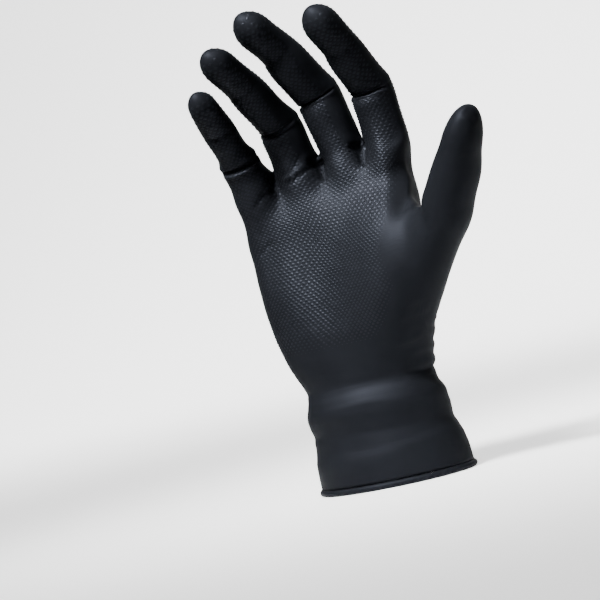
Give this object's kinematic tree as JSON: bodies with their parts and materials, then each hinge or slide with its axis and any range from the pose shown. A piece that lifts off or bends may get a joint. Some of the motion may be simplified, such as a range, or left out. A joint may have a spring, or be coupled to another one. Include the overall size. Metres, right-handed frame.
{
  "type": "exam glove",
  "caption": "Thin dipped nitrile exam glove for the right hand, textured palm and fingers, rolled cuff bead, hollow and open at the wrist, in the form of a relaxed open hand.",
  "frame": {"origin": "centre of the cuff opening, in the plane of the rolled bead's edge", "axes": "+Z from the cuff opening to the fingertips, the palm faces -Y, the thumb lies toward +X"},
  "size_m": [0.1313, 0.0791, 0.2181],
  "materials": {
    "nitrile_film": "satin black nitrile film with a raised diamond grip on the palm, the back and the fingers"
  },
  "bodies": {
    "root": {"glove_shell": "nitrile_film"}
  },
  "joints": []
}
